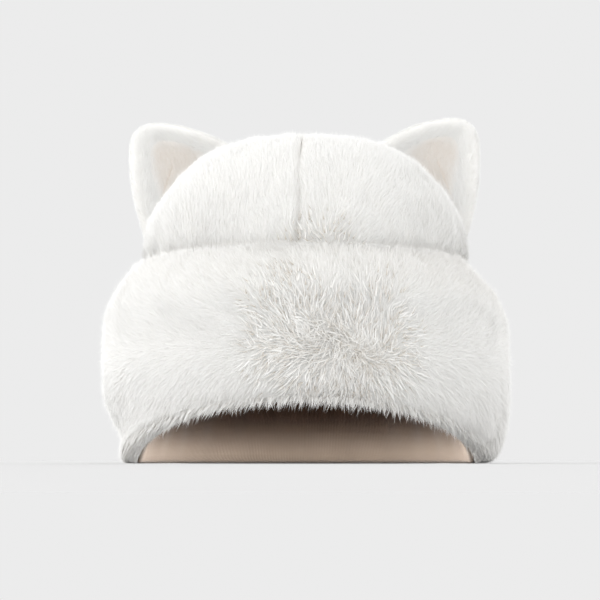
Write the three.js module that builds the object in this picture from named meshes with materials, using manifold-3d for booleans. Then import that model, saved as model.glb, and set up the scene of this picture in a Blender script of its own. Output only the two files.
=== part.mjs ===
// Cat ear hat: a plush fur cap of two crown panels with a deep turned-up cuff,
// a cloth lining and two padded ears.
// Millimetres, +Z up, the front towards -Y. The origin lies on the resting surface,
// under the middle of the rim.
import * as THREE from "three";
import Module from "manifold-3d";
import { mergeVertices } from "three/addons/utils/BufferGeometryUtils.js";

const wasm = await Module();
wasm.setup();

// Driving dimensions of the whole hat
const DEPTH_RATIO = 1.05; // front-to-back size over side-to-side size
const MOUTH_HALF_WIDTH = 89; // inside the lining, for a 57 cm head
const CUFF_HALF_WIDTH = 125; // over the fur
const CUFF_TOP = 119; // where the cuff's shoulder meets the crown
const CROWN_TOP = 199; // over the fur, between the ears
const FIT_GAP = 0.4; // clearance between sewn pieces

// The rim is flat at the back and sides and rises over the forehead
const ARCH_RISE = 35;
const ARCH_FROM = 0.08; // cosine of the turn where the rise begins
const ARCH_SOFTNESS = 0.06;
// and its inside flares out to the lower edge
const RIM_FLARE = 9;
const FLARE_HEIGHT = 56;

// Cloth and pile
const LINING_WALL = 1.8;
const PANEL_WALL = 10; // crown backing with its standing pile
const PRESSED_WALL = 5.8; // the same, pressed flat under the cuff
const LOCK_PROUD = 2.8; // how far a lock's tip stands over its root
const LOCK_SWELL = [0.2, 0.65, 1]; // root, middle and tip of a lock
const LOCK_VALLEY = 0.15; // of a lock's rise, between two locks
const SEAM_DIP = 3.6; // how far the pile parts at the crown seam
const SEAM_GAP = 0.4;
const SEAM_TURN = THREE.MathUtils.degToRad(-2.3); // the front seam runs a little left of centre

// Crown dome, a superellipse that springs inside the cuff
const SPRING_HEIGHT = 112;
const DOME_HALF_WIDTH = 103;
const DOME_POWER = 2.75;
const DOME_ROWS = 12;
const SETTLED_ROWS = 5; // locks and seam flatten over these rows to the top
const HEM_HEIGHT = 7.5;
const NECK_HEIGHT = 121;
const NECK_EASE = 4; // the dome's rows begin this far over the neck
const PANEL_COLUMNS = 32;
const LINING_COLUMNS = 36;
const LINING_HEM = 2.4; // height of the lining's lower edge

// Cuff section
const CUFF_COLUMNS = 88;
const LIP_HEIGHT = 7;
const FLAT_WIDTH = 6; // of the flattened foot that rests
const FOOT_SET_OUT = 2; // from the lip's inner face to the foot
const FOOT_HEIGHT = 38; // rounded lower edge
const CREASE = { wide: 2.2, deep: 3 }; // between the cuff's top and the crown
const SHOULDER_RADIUS = 45;
const SHOULDER_SWEEP = THREE.MathUtils.degToRad(58);
const FOOT_STEPS = 5;
const WALL_STEPS = 3;
const SHOULDER_STEPS = 6;

// Soft swells and hollows: place round in degrees and up, how far each reaches and how far it stands out
const CUFF_SWELLS = [
  { turn: 10, height: 66, wide: 17, tall: 26, out: -3.2 },
  { turn: -34, height: 84, wide: 20, tall: 24, out: 1.6 },
  { turn: 52, height: 62, wide: 18, tall: 30, out: 1.4 },
  { turn: 128, height: 80, wide: 24, tall: 30, out: -2 },
  { turn: 180, height: 62, wide: 20, tall: 32, out: -1.8 },
  { turn: -124, height: 60, wide: 22, tall: 30, out: -1.8 },
  { turn: -95, height: 14, wide: 45, tall: 18, out: -9.5 },
  { turn: -90, height: 117, wide: 40, tall: 9, out: 2.5 },
  { turn: 92, height: 106, wide: 38, tall: 15, out: -3.5 },
];
// The crown is drawn in where the ears are sewn on
const CROWN_SWELLS = [
  { turn: -90, height: 170, wide: 26, tall: 20, out: -7 },
  { turn: 90, height: 170, wide: 26, tall: 20, out: -7 },
];

// Ears: a rounded triangle on a base that slants, in degrees, with the dome
const EARS = [
  { side: "left", sign: -1, lift: 0.5, size: 1.06, slant: 48.6 },
  { side: "right", sign: 1, lift: 2.6, size: 1.06, slant: 45.5 },
];
const EAR_BASE = { across: 76, back: 4, up: 166.5 };
const EAR_BACK_LEAN = THREE.MathUtils.degToRad(4);
const EAR_CUP = 5; // how far the flanks curl forward
const EAR_HALF_BASE = 38;
const EAR_COLUMNS = 32;
// Outline from the outer end of the base over the tip, down to the crown and back:
// control and end of each curve
const EAR_CURVES = [
  { bend: [-25, 23], end: [-5, 40] },
  { bend: [6, 51], end: [17, 43] },
  { bend: [34, 26], end: [40, 0] },
  { bend: [0, -34], end: [-EAR_HALF_BASE, 0] },
];
const EAR_HUB = { along: 8, up: 13 }; // rings shrink towards this point
const EAR_LOCK = 1.2;
// Rings from the hollow front, over the rim, to the padded back: share of the outline, depth forwards, pile
const EAR_RINGS = [
  { share: 0.34, depth: 4.8, locks: 0 },
  { share: 0.56, depth: 5.8, locks: 0 },
  { share: 0.76, depth: 7.8, locks: 0.6 },
  { share: 0.93, depth: 6.4, locks: 1 },
  { share: 1, depth: 0, locks: 1 },
  { share: 0.94, depth: -6, locks: 1 },
  { share: 0.72, depth: -9, locks: 1 },
  { share: 0.38, depth: -10.4, locks: 0.6 },
];
const EAR_FRONT = 4.6;
const EAR_BACK = -10.8;
const PATCH_SHARES = [0.34, 0.54]; // rings of the inner ear cloth, within the hollow
const PATCH_WALL = 1.8;

// Finishes
const whiteFur = { color: 0xf4f3ef, roughness: 0.95, metalness: 0 };
const innerEarPlush = { color: 0xd9cdbd, roughness: 0.95, metalness: 0 };
const liningCloth = { color: 0x8f7c6b, roughness: 0.85, metalness: 0 };

// Solids from points and four-cornered faces. A face with two equal corners becomes a triangle.
class Skin {
  points = [];
  triangles = [];
  point(p) {
    return this.points.push(p) - 1;
  }
  face(a, b, c, d) {
    for (const t of [[a, b, c], [a, c, d]]) {
      if (new Set(t).size === 3) this.triangles.push(t);
    }
  }
  // Signed volume, negative while the faces point inwards.
  volume() {
    const six = this.triangles.map(([a, b, c]) =>
      this.points[a].dot(new THREE.Vector3().crossVectors(this.points[b], this.points[c])),
    );
    return six.reduce((sum, v) => sum + v, 0) / 6;
  }
  geometry() {
    const order = this.volume() < 0 ? ([a, b, c]) => [a, c, b] : (t) => t;
    const made = new THREE.BufferGeometry().setFromPoints(this.points);
    return made.setIndex(this.triangles.flatMap(order));
  }
}

// A closed surface from one pole, through rings of equal length, to the other pole.
function betweenPoles(first, rings, last) {
  const skin = new Skin();
  const count = rings[0].length;
  const rows = [first, ...rings, last].map((row) => {
    if (!Array.isArray(row)) return Array(count).fill(skin.point(row));
    return row.map((p) => skin.point(p));
  });
  for (let r = 0; r + 1 < rows.length; r++) {
    for (let i = 0; i < count; i++) {
      const next = (i + 1) % count;
      skin.face(rows[r][i], rows[r][next], rows[r + 1][next], rows[r + 1][i]);
    }
  }
  return skin.geometry();
}

// A wall between outer and inner columns that run from the hem up to a pole.
// An open wall has its two end columns capped.
function domedWall(outer, inner, closedRound) {
  const skin = new Skin();
  const numbered = (columns) => {
    const pole = skin.point(columns[0].at(-1));
    return columns.map((column) => [...column.slice(0, -1).map((p) => skin.point(p)), pole]);
  };
  const out = numbered(outer);
  const into = numbered(inner);
  const last = closedRound ? out.length : out.length - 1;
  const rows = out[0].length;
  for (let i = 0; i < last; i++) {
    const n = (i + 1) % out.length;
    for (let j = 0; j + 1 < rows; j++) {
      skin.face(out[i][j], out[n][j], out[n][j + 1], out[i][j + 1]);
      skin.face(into[n][j], into[i][j], into[i][j + 1], into[n][j + 1]);
    }
    skin.face(into[i][0], into[n][0], out[n][0], out[i][0]);
  }
  if (!closedRound) {
    for (let j = 0; j + 1 < rows; j++) {
      skin.face(into[0][j], out[0][j], out[0][j + 1], into[0][j + 1]);
      skin.face(out[last][j], into[last][j], into[last][j + 1], out[last][j + 1]);
    }
  }
  return skin.geometry();
}

// A ring whose closed section loop is carried once round.
function sectionRing(sections) {
  const skin = new Skin();
  const loops = sections.map((loop) => loop.map((p) => skin.point(p)));
  loops.forEach((loop, i) => {
    const next = loops[(i + 1) % loops.length];
    loop.forEach((corner, k) => {
      const up = (k + 1) % loop.length;
      skin.face(corner, next[k], next[up], loop[up]);
    });
  });
  return skin.geometry();
}

function asSolid(geometry) {
  const bare = mergeVertices(geometry.clone().deleteAttribute("normal").deleteAttribute("uv"));
  const vertProperties = new Float32Array(bare.attributes.position.array);
  const triVerts = new Uint32Array(bare.index.array);
  return new wasm.Manifold(new wasm.Mesh({ numProp: 3, vertProperties, triVerts }));
}

function cutBy(geometry, cutter) {
  const mesh = asSolid(geometry).subtract(cutter).getMesh();
  const made = new THREE.BufferGeometry();
  made.setAttribute("position", new THREE.BufferAttribute(mesh.vertProperties, 3));
  return made.setIndex(new THREE.BufferAttribute(mesh.triVerts, 1));
}

// How far the rim's arch lifts a point, at a turn from the front and a height before lifting.
function rimLift(turn, height) {
  const forward = (Math.cos(turn) - ARCH_FROM) / (1 - ARCH_FROM);
  if (forward <= 0) return 0;
  const ramp = (forward ** 2 * (1 + ARCH_SOFTNESS)) / (forward + ARCH_SOFTNESS);
  return ARCH_RISE * ramp * Math.max(0, 1 - height / CUFF_TOP);
}

// A point at a turn round the hat, from the front towards +X, a half width and a height.
function around(turn, halfWidth, height) {
  const x = halfWidth * Math.sin(turn);
  const y = -halfWidth * DEPTH_RATIO * Math.cos(turn);
  return new THREE.Vector3(x, y, height + rimLift(turn, height));
}

// The same inside the rim, where the walls flare.
function inside(turn, halfWidth, height) {
  return around(turn, halfWidth + RIM_FLARE * Math.max(0, 1 - height / FLARE_HEIGHT), height);
}

function swellAt(swells, turn, height) {
  const bump = ({ turn: at, height: up, wide, tall, out }) => {
    const degrees = THREE.MathUtils.radToDeg(turn) - at;
    const away = THREE.MathUtils.euclideanModulo(degrees + 180, 360) - 180;
    return out * Math.exp(-((away / wide) ** 2) - ((height - up) / tall) ** 2);
  };
  return swells.reduce((sum, row) => sum + bump(row), 0);
}

// Locks lie downwards in staggered tiers of three rows, counted from the top of the pile.
function lockRise(column, rowFromTop) {
  const tier = Math.floor(rowFromTop / LOCK_SWELL.length);
  const ridge = (column + tier) % 2 === 0 ? 1 : LOCK_VALLEY;
  return LOCK_PROUD * ridge * LOCK_SWELL[rowFromTop % LOCK_SWELL.length];
}

// Dome profile from the spring height up to the pole, as half width and height.
function domeProfile(halfWidth, top) {
  return Array.from({ length: DOME_ROWS }, (_, k) => {
    const angle = ((k + 1) / DOME_ROWS) * (Math.PI / 2);
    const bend = 2 / DOME_POWER;
    const across = k + 1 < DOME_ROWS ? Math.cos(angle) ** bend : 0;
    return { half: halfWidth * across, up: SPRING_HEIGHT + (top - SPRING_HEIGHT) * Math.sin(angle) ** bend };
  });
}

const panelInner = MOUTH_HALF_WIDTH + LINING_WALL + FIT_GAP;
const panelPressed = panelInner + PRESSED_WALL;
const cuffInner = panelPressed + FIT_GAP + SEAM_GAP / 2;

// Crown panel column: hem, pressed stretch under the cuff, neck and dome.
const outerProfile = [
  { half: panelPressed, up: HEM_HEIGHT },
  { half: panelPressed, up: FLARE_HEIGHT },
  { half: panelPressed, up: SPRING_HEIGHT },
  { half: DOME_HALF_WIDTH - LOCK_PROUD, up: NECK_HEIGHT },
  ...domeProfile(DOME_HALF_WIDTH, CROWN_TOP).filter(({ up }) => up > NECK_HEIGHT + NECK_EASE),
];
const straightRows = 4;

function innerProfileOf(halfWidth, top, hem) {
  const dome = domeProfile(halfWidth, top).slice(straightRows - outerProfile.length);
  const straight = [hem, FLARE_HEIGHT, SPRING_HEIGHT, NECK_HEIGHT].map((up) => ({ half: halfWidth, up }));
  return [...straight, ...dome];
}

// A point of the crown's furry face, pushed out by extra. Pile parts at the seams and lies flat at the top.
function crownPoint(turn, column, row, extra) {
  const { half, up } = outerProfile[row];
  if (half === 0) return new THREE.Vector3(0, 0, up + extra);
  const fromTop = outerProfile.length - 2 - row;
  const settled = Math.min(1, fromTop / SETTLED_ROWS);
  const atSeam = column === 0 || column === PANEL_COLUMNS;
  const lock = row >= straightRows ? lockRise(column, fromTop) - LOCK_PROUD : 0;
  const dip = row >= straightRows - 1 ? SEAM_DIP : 0;
  const rise = extra + swellAt(CROWN_SWELLS, turn, up) + settled * (atSeam ? -dip : lock);
  const steep = Math.max(0, (up - SPRING_HEIGHT) / (CROWN_TOP - SPRING_HEIGHT)) ** 2;
  return inside(turn, half + rise * (1 - steep / 2), up + rise * steep);
}

function panelTurns(sign) {
  const [from, to] = sign > 0 ? [SEAM_TURN, Math.PI] : [Math.PI, 2 * Math.PI + SEAM_TURN];
  return Array.from({ length: PANEL_COLUMNS + 1 }, (_, i) => from + ((to - from) * i) / PANEL_COLUMNS);
}

function panelColumns(sign, extra = 0) {
  const aside = new THREE.Vector3((sign * SEAM_GAP) / 2, 0, 0);
  const rows = outerProfile.map((_, row) => row);
  return panelTurns(sign).map((turn, i) => rows.map((row) => crownPoint(turn, i, row, extra).add(aside)));
}

function crownPanel(sign) {
  const profile = innerProfileOf(panelInner, CROWN_TOP - PANEL_WALL, HEM_HEIGHT);
  const aside = new THREE.Vector3((sign * SEAM_GAP) / 2, 0, 0);
  const columnAt = (turn) => profile.map(({ half, up }) => inside(turn, half, up).add(aside));
  const inner = panelTurns(sign).map(columnAt);
  return domedWall(panelColumns(sign), inner, false);
}

function lining() {
  const outerTop = CROWN_TOP - PANEL_WALL - FIT_GAP;
  const turns = Array.from({ length: LINING_COLUMNS }, (_, i) => (2 * Math.PI * i) / LINING_COLUMNS);
  const columns = (half, top) => {
    const profile = innerProfileOf(half, top, LINING_HEM);
    return turns.map((turn) => profile.map((row) => inside(turn, row.half, row.up)));
  };
  const outer = columns(MOUTH_HALF_WIDTH + LINING_WALL - SEAM_GAP / 2, outerTop);
  return domedWall(outer, columns(MOUTH_HALF_WIDTH, outerTop - LINING_WALL), true);
}

// Cuff section, from the foot's inner corner out, up the furry face, over the shoulder and down inside.
function cuffSection(turn, column) {
  const lipInner = MOUTH_HALF_WIDTH + LINING_WALL + FIT_GAP;
  const footInner = lipInner + FOOT_SET_OUT;
  const footOuter = footInner + RIM_FLARE + FLAT_WIDTH;
  const face = CUFF_HALF_WIDTH - LOCK_PROUD;
  const shoulderHeight = CUFF_TOP - SHOULDER_RADIUS * Math.sin(SHOULDER_SWEEP);
  const rows = [];
  for (let k = 0; k <= FOOT_STEPS; k++) {
    const angle = ((k / FOOT_STEPS) * Math.PI) / 2;
    const half = footOuter + (face - footOuter) * Math.sin(angle);
    rows.push({ half, up: FOOT_HEIGHT * (1 - Math.cos(angle)), slope: angle - Math.PI / 2 });
  }
  for (let k = 1; k < WALL_STEPS; k++) {
    const up = THREE.MathUtils.lerp(FOOT_HEIGHT, shoulderHeight, k / WALL_STEPS);
    rows.push({ half: face, up, slope: 0 });
  }
  for (let k = 0; k <= SHOULDER_STEPS; k++) {
    const slope = (k / SHOULDER_STEPS) * SHOULDER_SWEEP;
    const half = face + SHOULDER_RADIUS * (Math.cos(slope) - 1);
    rows.push({ half, up: shoulderHeight + SHOULDER_RADIUS * Math.sin(slope), slope });
  }
  const furry = rows.map(({ half, up, slope }, k) => {
    const resting = k === 0;
    const out = resting ? 0 : lockRise(column, rows.length - 1 - k) + swellAt(CUFF_SWELLS, turn, up);
    return around(turn, half + out * Math.cos(slope), Math.max(0, up + out * Math.sin(slope)));
  });
  const hidden = [
    { half: cuffInner + CREASE.wide, up: CUFF_TOP - CREASE.deep },
    { half: cuffInner, up: SPRING_HEIGHT - CREASE.deep },
    { half: cuffInner, up: FLARE_HEIGHT },
    { half: cuffInner, up: LIP_HEIGHT },
    { half: lipInner, up: LIP_HEIGHT },
    { half: lipInner, up: LIP_HEIGHT / 2 },
    { half: footInner, up: 0 },
  ];
  return [...furry, ...hidden.map(({ half, up }) => inside(turn, half, up))];
}

function cuff() {
  const turns = Array.from({ length: CUFF_COLUMNS }, (_, i) => (2 * Math.PI * i) / CUFF_COLUMNS);
  return sectionRing(turns.map(cuffSection));
}

// The space that the crown fills, with clearance, so that an ear's base can be cut to sit on the pile.
function crownSeat() {
  const columns = [...panelColumns(1, FIT_GAP), ...panelColumns(-1, FIT_GAP)];
  const rows = columns[0].length - 1;
  const rings = Array.from({ length: rows }, (_, row) => columns.map((column) => column[row]));
  const top = new THREE.Vector3(0, 0, CROWN_TOP + FIT_GAP);
  return asSolid(betweenPoles(new THREE.Vector3(0, 0, HEM_HEIGHT), rings, top));
}

// Ear outline in its own plane: along the base towards the crown, and up to the tip.
function earOutline() {
  const shape = new THREE.Shape();
  shape.moveTo(-EAR_HALF_BASE, 0);
  for (const { bend, end } of EAR_CURVES) shape.quadraticCurveTo(...bend, ...end);
  return shape.getSpacedPoints(EAR_COLUMNS).slice(0, EAR_COLUMNS);
}

// Places a point of the ear's plane in the hat, for one ear.
function earPlace({ sign, lift, size, slant }) {
  const frame = new THREE.Matrix4().makeRotationY(-THREE.MathUtils.degToRad(slant));
  frame.premultiply(new THREE.Matrix4().makeRotationX(-EAR_BACK_LEAN));
  frame.setPosition(-EAR_BASE.across, EAR_BASE.back, EAR_BASE.up + lift);
  return (along, up, depth) => {
    const cup = EAR_CUP * (along / EAR_HALF_BASE) ** 2;
    const local = new THREE.Vector3(along * size, -(depth + cup), up * size);
    local.applyMatrix4(frame);
    local.x *= -sign;
    return local;
  };
}

function earRing(place, share, depth, locks) {
  return earOutline().map((corner, i) => {
    const proud = i % 2 === 0 ? 0 : -EAR_LOCK * locks;
    const reach = share + proud / EAR_HALF_BASE;
    const along = EAR_HUB.along + (corner.x - EAR_HUB.along) * reach;
    const up = EAR_HUB.up + (corner.y - EAR_HUB.up) * reach;
    return place(along, up, depth);
  });
}

function earBody(ear) {
  const place = earPlace(ear);
  const rings = EAR_RINGS.map(({ share, depth, locks }) => earRing(place, share, depth, locks));
  const hub = (depth) => place(EAR_HUB.along, EAR_HUB.up, depth);
  return betweenPoles(hub(EAR_FRONT), rings, hub(EAR_BACK));
}

// The inner ear cloth lies in the hollow front of the ear, just clear of it.
function earPatch(ear) {
  const place = earPlace(ear);
  const hollow = [{ share: 0, depth: EAR_FRONT }, ...EAR_RINGS];
  const floorAt = (share) => {
    const k = hollow.findIndex((ring) => ring.share >= share);
    const [near, far] = [hollow[Math.max(0, k - 1)], hollow[k]];
    const part = far.share > near.share ? (share - near.share) / (far.share - near.share) : 0;
    return THREE.MathUtils.lerp(near.depth, far.depth, part) + FIT_GAP;
  };
  const hub = (depth) => place(EAR_HUB.along, EAR_HUB.up, depth);
  const front = PATCH_SHARES.map((share) => earRing(place, share, floorAt(share) + PATCH_WALL, 0));
  const back = PATCH_SHARES.map((share) => earRing(place, share, floorAt(share), 0)).reverse();
  return betweenPoles(hub(floorAt(0) + PATCH_WALL), [...front, ...back], hub(floorAt(0)));
}

function piece(name, geometry, finish) {
  const shaded = geometry.clone();
  shaded.computeVertexNormals();
  const mesh = new THREE.Mesh(shaded, new THREE.MeshStandardMaterial(finish));
  mesh.name = name;
  return mesh;
}

const hat = new THREE.Group();
hat.add(piece("lining", lining(), liningCloth));
hat.add(piece("crown_panel_left", crownPanel(-1), whiteFur));
hat.add(piece("crown_panel_right", crownPanel(1), whiteFur));
hat.add(piece("cuff", cuff(), whiteFur));
const seat = crownSeat();
for (const ear of EARS) {
  hat.add(piece(`ear_${ear.side}`, cutBy(earBody(ear), seat), whiteFur));
  hat.add(piece(`inner_ear_${ear.side}`, cutBy(earPatch(ear), seat), innerEarPlush));
}

export default hat;
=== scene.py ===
"""Cat ear hat: fur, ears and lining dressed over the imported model. Metres, +Z up, the front towards -Y.

Shapes are worked out in millimetres as whole arrays of points, and become metres in their meshes.
"""

import bpy
import numpy as np
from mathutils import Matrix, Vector


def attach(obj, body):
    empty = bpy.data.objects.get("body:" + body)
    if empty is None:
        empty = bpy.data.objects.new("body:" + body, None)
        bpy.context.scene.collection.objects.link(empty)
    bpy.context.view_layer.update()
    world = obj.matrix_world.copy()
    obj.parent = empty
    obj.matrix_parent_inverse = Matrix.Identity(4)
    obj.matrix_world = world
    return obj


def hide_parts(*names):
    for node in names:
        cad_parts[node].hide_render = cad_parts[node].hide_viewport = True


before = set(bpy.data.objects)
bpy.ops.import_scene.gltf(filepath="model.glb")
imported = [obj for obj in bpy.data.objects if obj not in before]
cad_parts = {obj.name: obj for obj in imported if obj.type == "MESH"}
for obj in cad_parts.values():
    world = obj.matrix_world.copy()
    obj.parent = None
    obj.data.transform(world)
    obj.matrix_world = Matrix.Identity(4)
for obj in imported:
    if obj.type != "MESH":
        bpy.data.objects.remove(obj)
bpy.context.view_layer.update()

MM = 0.001
BODY = "root"

# Driving sizes of the hat, in millimetres
DEPTH_RATIO = 1.05
MOUTH_HALF = 89.0
CUFF_HALF = 125.0
CUFF_TOP = 119.0
CROWN_TOP = 199.0
LINING_WALL = 1.6
PRESSED_HALF = 96.6  # crown wall under the cuff
HEM_HEIGHT = 7.5
HEM_TURN = 3.6

# The rim rises over the forehead and flares inside
ARCH_RISE = 35.0
ARCH_FROM = 0.08
ARCH_SOFTNESS = 0.06
RIM_FLARE = 9.0
FLARE_HEIGHT = 56.0

# Fur stands this far over its backing
CUFF_PILE = 3.7
CROWN_PILE = 4.3
EAR_PILE = 2.6
RIM_PILE = 1.5

# Crown dome
SPRING_HEIGHT = 112.0
NECK_HEIGHT = 121.0
NECK_INSET = 1.4
DOME_HALF = 103.0
DOME_POWER = 2.75
SEAM_TURN = np.radians(-2.3)
SEAM_DEEP = 1.3
SEAM_START = 12.0  # the dip grows over this height above the spring
SEAM_WIDE = 2.2
SEAM_GAP = 0.06
SEAM_END = 30.0  # the seam's dip fades to nothing at this half width near the top
SEAM_FADE = 40.0

# Cuff section
CUFF_INNER = 97.8
LIP_INNER = 91.4
LIP_HEIGHT = 7.0
FOOT_INNER = 102.4
FOOT_OUTER = 108.0
FOOT_REST = 0.4  # height of the backing's foot over the floor
FOOT_HEIGHT = 38.0
FOOT_FADE = 8.0
SHOULDER_RADIUS = 45.0
SHOULDER_SWEEP = np.radians(58)
CREASE_WIDE = 2.2
CREASE_DEEP = 3.0

# Lining bag
LINING_DROP = 10.4  # from the crown's top down to the lining's
HEM_INSET = 0.8
HEM_FOOT = 1.3
LINING_PLEATS = 23
PLEAT_SLACK = 1.1
PLEAT_DEEP = 0.7
PLEAT_START = 20.0  # the slack grows over this height above the hem
PLEAT_LEAST = 0.25  # share of the slack at the hem
PLEAT_TOP = (10.0, 70.0)  # half widths between which the slack goes near the top
PLEAT_UNEVEN = 2.2  # radians by which the pleats crowd and spread, in three waves round
PLEAT_LEAN = 0.02  # radians to a millimetre of height
BROAD_PLEATS = 9
BROAD_SHARE = 0.6

# Points along the profiles
ARC_STEPS = 24
FURRY_STEPS = 100
HIDDEN_STEPS = 40
WALL_STEPS = 9
DOME_STEPS = 72
LINING_STEPS = 120
OUTLINE_STEPS = 161
SECTION_STEPS = 121
# Superellipses: start, as a share of the quarter, and points
CROWN_ARC = (0.06, 60)
LINING_ARC = (0.05, 50)

# Soft swells and hollows: turn in degrees, height, reach round, reach up, how far out
CUFF_SWELLS = (
    (10, 66, 17, 26, -3.2),
    (-34, 84, 20, 24, 1.6),
    (52, 62, 18, 30, 1.4),
    (128, 80, 24, 30, -2.0),
    (180, 62, 20, 32, -1.8),
    (-124, 60, 22, 30, -1.8),
    (-95, 14, 45, 18, -9.5),
    (-90, 117, 40, 9, 2.5),
    (92, 106, 38, 15, -3.5),
)
CROWN_SWELLS = (
    (-90, 170, 26, 20, -7.0),
    (90, 170, 26, 20, -7.0),
)

# Ears: sign of the side, lift, size, slant in degrees
EARS = {"left": (-1, 2.4, 1.06, 48.6), "right": (1, 4.8, 1.06, 45.5)}
EAR_BASE = (-76.0, 4.0, 166.5)
EAR_LEAN = np.radians(4)
EAR_CUP = 5.0
EAR_THIN = 0.85  # depth of the backing under its pile, as a share of the ear's
EAR_SUNK = 3.4  # an ear's foot lies this deep in the crown's fur
EAR_HALF_BASE = 38.0
EAR_HUB = np.array((8.0, 13.0))
# Curves of the outline: start, control and end of each
EAR_CURVES = (
    ((-42, -9), (-25, 23), (-5, 40)),
    ((-5, 40), (6, 51), (17, 43)),
    ((17, 43), (34, 26), (40, -9)),
    ((40, -9), (0, -34), (-42, -9)),
)
# From the hollow front over the rim to the back: share of the outline, depth forwards
EAR_RINGS = (
    (0.0, 5.2),
    (0.34, 5.4),
    (0.56, 6.2),
    (0.76, 7.4),
    (0.93, 6.2),
    (1.0, 0.0),
    (0.94, -6.0),
    (0.72, -9.0),
    (0.38, -10.4),
    (0.0, -10.8),
)
PATCH_SHARE = 0.5
PATCH_CLEAR = 0.3
PATCH_WALL = 0.5
PATCH_TAPER = 0.4  # share of the patch's reach over which its wall thins to its edge

# Camera, placed as the photo's: the picture is 600 pixels wide
PICTURE = 600
PIXEL = 0.6127  # millimetres to a pixel at the hat's middle
CAMERA_AWAY = 1000.0
CAMERA_HEIGHT = 2.0
CAMERA_AIM = (-3.4, 0.0, 99.6)
CAMERA_REACH = 60.0  # metres
SENSOR = 36.0


def unit(vectors):
    """Each vector over its own length."""
    return vectors / np.maximum(np.linalg.norm(vectors, axis=-1, keepdims=True), 1e-9)


WAVES = 7
WAVE_SPREAD = (0.7, 1.5)


def ripple(points, size, seed):
    """A smooth random field of unit spread: the sum of seven plane waves of about this wavelength."""
    rng = np.random.default_rng(seed)
    ways = unit(rng.normal(size=(WAVES, 3))) * 2 * np.pi / (size * rng.uniform(*WAVE_SPREAD, (WAVES, 1)))
    phase = rng.uniform(0, 2 * np.pi, WAVES)
    return np.sin(points @ ways.T + phase).sum(-1) / np.sqrt(WAVES / 2)


def swell(rows, turn, up):
    """The sum of Gaussian hills, each at its turn and height, with its own reach and rise."""
    total = np.zeros(np.broadcast(turn, up).shape)
    for at, height, wide, tall, out in rows:
        away = (np.degrees(turn) - at + 180) % 360 - 180
        total = total + out * np.exp(-((away / wide) ** 2) - ((up - height) / tall) ** 2)
    return total


def arch_lift(turn, up):
    """Rise of the rim over the forehead: a softened ramp in the turn's cosine, gone at the cuff's top."""
    forward = np.clip((np.cos(turn) - ARCH_FROM) / (1 - ARCH_FROM), 0, None)
    ramp = forward**2 * (1 + ARCH_SOFTNESS) / (forward + ARCH_SOFTNESS)
    return (ARCH_RISE + RIM_PILE) * ramp * np.clip(1 - up / CUFF_TOP, 0, None)


def around(turn, half, up):
    """Points on ellipses round the hat, at a turn from the front towards +X, lifted by the rim's arch."""
    x = half * np.sin(turn)
    y = -half * DEPTH_RATIO * np.cos(turn)
    return np.stack(np.broadcast_arrays(x, y, up + arch_lift(turn, up)), axis=-1)


def flare(up):
    """How far the inside of the rim stands out, falling evenly to nothing at the flare's height."""
    return RIM_FLARE * np.clip(1 - up / FLARE_HEIGHT, 0, None)


def even(path, count):
    """A polyline's points, spaced evenly along it."""
    path = np.asarray(path, float)
    run = np.concatenate(([0], np.cumsum(np.linalg.norm(np.diff(path, axis=0), axis=1))))
    at = np.linspace(0, run[-1], count)
    return np.stack([np.interp(at, run, column) for column in path.T], axis=-1)


def rounded(path, times=3):
    """An open polyline with its corners cut again and again, which tends to a smooth curve."""
    path = np.asarray(path, float)
    for _ in range(times):
        near = 0.75 * path[:-1] + 0.25 * path[1:]
        far = 0.25 * path[:-1] + 0.75 * path[1:]
        inner = np.stack((near, far), axis=1).reshape(-1, path.shape[1])
        path = np.concatenate((path[:1], inner, path[-1:]))
    return path


def along(table, share):
    """Values of a table's columns at shares of its length."""
    place = np.linspace(0, 1, len(table))
    return [np.interp(share, place, column) for column in table.T]


# Surfaces, each a function of two shares from 0 to 1: round, and along the profile


def cuff_profile():
    """The cuff's closed section: foot, elliptical lower edge, shoulder arc, crease, inner face and lip."""
    quarter = np.linspace(0, np.pi / 2, ARC_STEPS)
    sweep = np.linspace(0, SHOULDER_SWEEP, ARC_STEPS)
    face = CUFF_HALF - CUFF_PILE
    top = CUFF_TOP - CUFF_PILE
    shoulder = top - SHOULDER_RADIUS * np.sin(SHOULDER_SWEEP)
    lower_half = FOOT_OUTER + (face - FOOT_OUTER) * np.sin(quarter)
    lower_up = FOOT_HEIGHT - (FOOT_HEIGHT - FOOT_REST) * np.cos(quarter)
    upper_half = face + SHOULDER_RADIUS * (np.cos(sweep) - 1)
    upper_up = shoulder + SHOULDER_RADIUS * np.sin(sweep)
    foot = (FOOT_INNER, FOOT_REST)
    lower = np.stack((lower_half, lower_up), axis=-1)
    upper = np.stack((upper_half, upper_up), axis=-1)
    furry = np.concatenate(((foot,), lower, upper))
    hidden = np.array(
        (
            (CUFF_INNER + CREASE_WIDE, top - CREASE_DEEP),
            (CUFF_INNER, SPRING_HEIGHT - CUFF_PILE - CREASE_DEEP),
            (CUFF_INNER, FLARE_HEIGHT),
            (CUFF_INNER + flare(LIP_HEIGHT), LIP_HEIGHT),
            (LIP_INNER + flare(LIP_HEIGHT), LIP_HEIGHT),
            (LIP_INNER + flare(LIP_HEIGHT / 2), LIP_HEIGHT / 2),
            foot,
        )
    )
    return even(furry, FURRY_STEPS), even(np.concatenate((furry[-1:], hidden)), HIDDEN_STEPS)[1:]


CUFF_FURRY, CUFF_HIDDEN = cuff_profile()
CUFF_LOOP = np.concatenate((CUFF_FURRY, CUFF_HIDDEN))


def cuff_at(turn, half, up, furry):
    """A point of the cuff. Its furry side has swells, which fade towards the foot."""
    grown = swell(CUFF_SWELLS, turn, up) * np.clip(up / FOOT_FADE, 0, 1) * furry
    return around(turn, half + grown, up)


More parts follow.
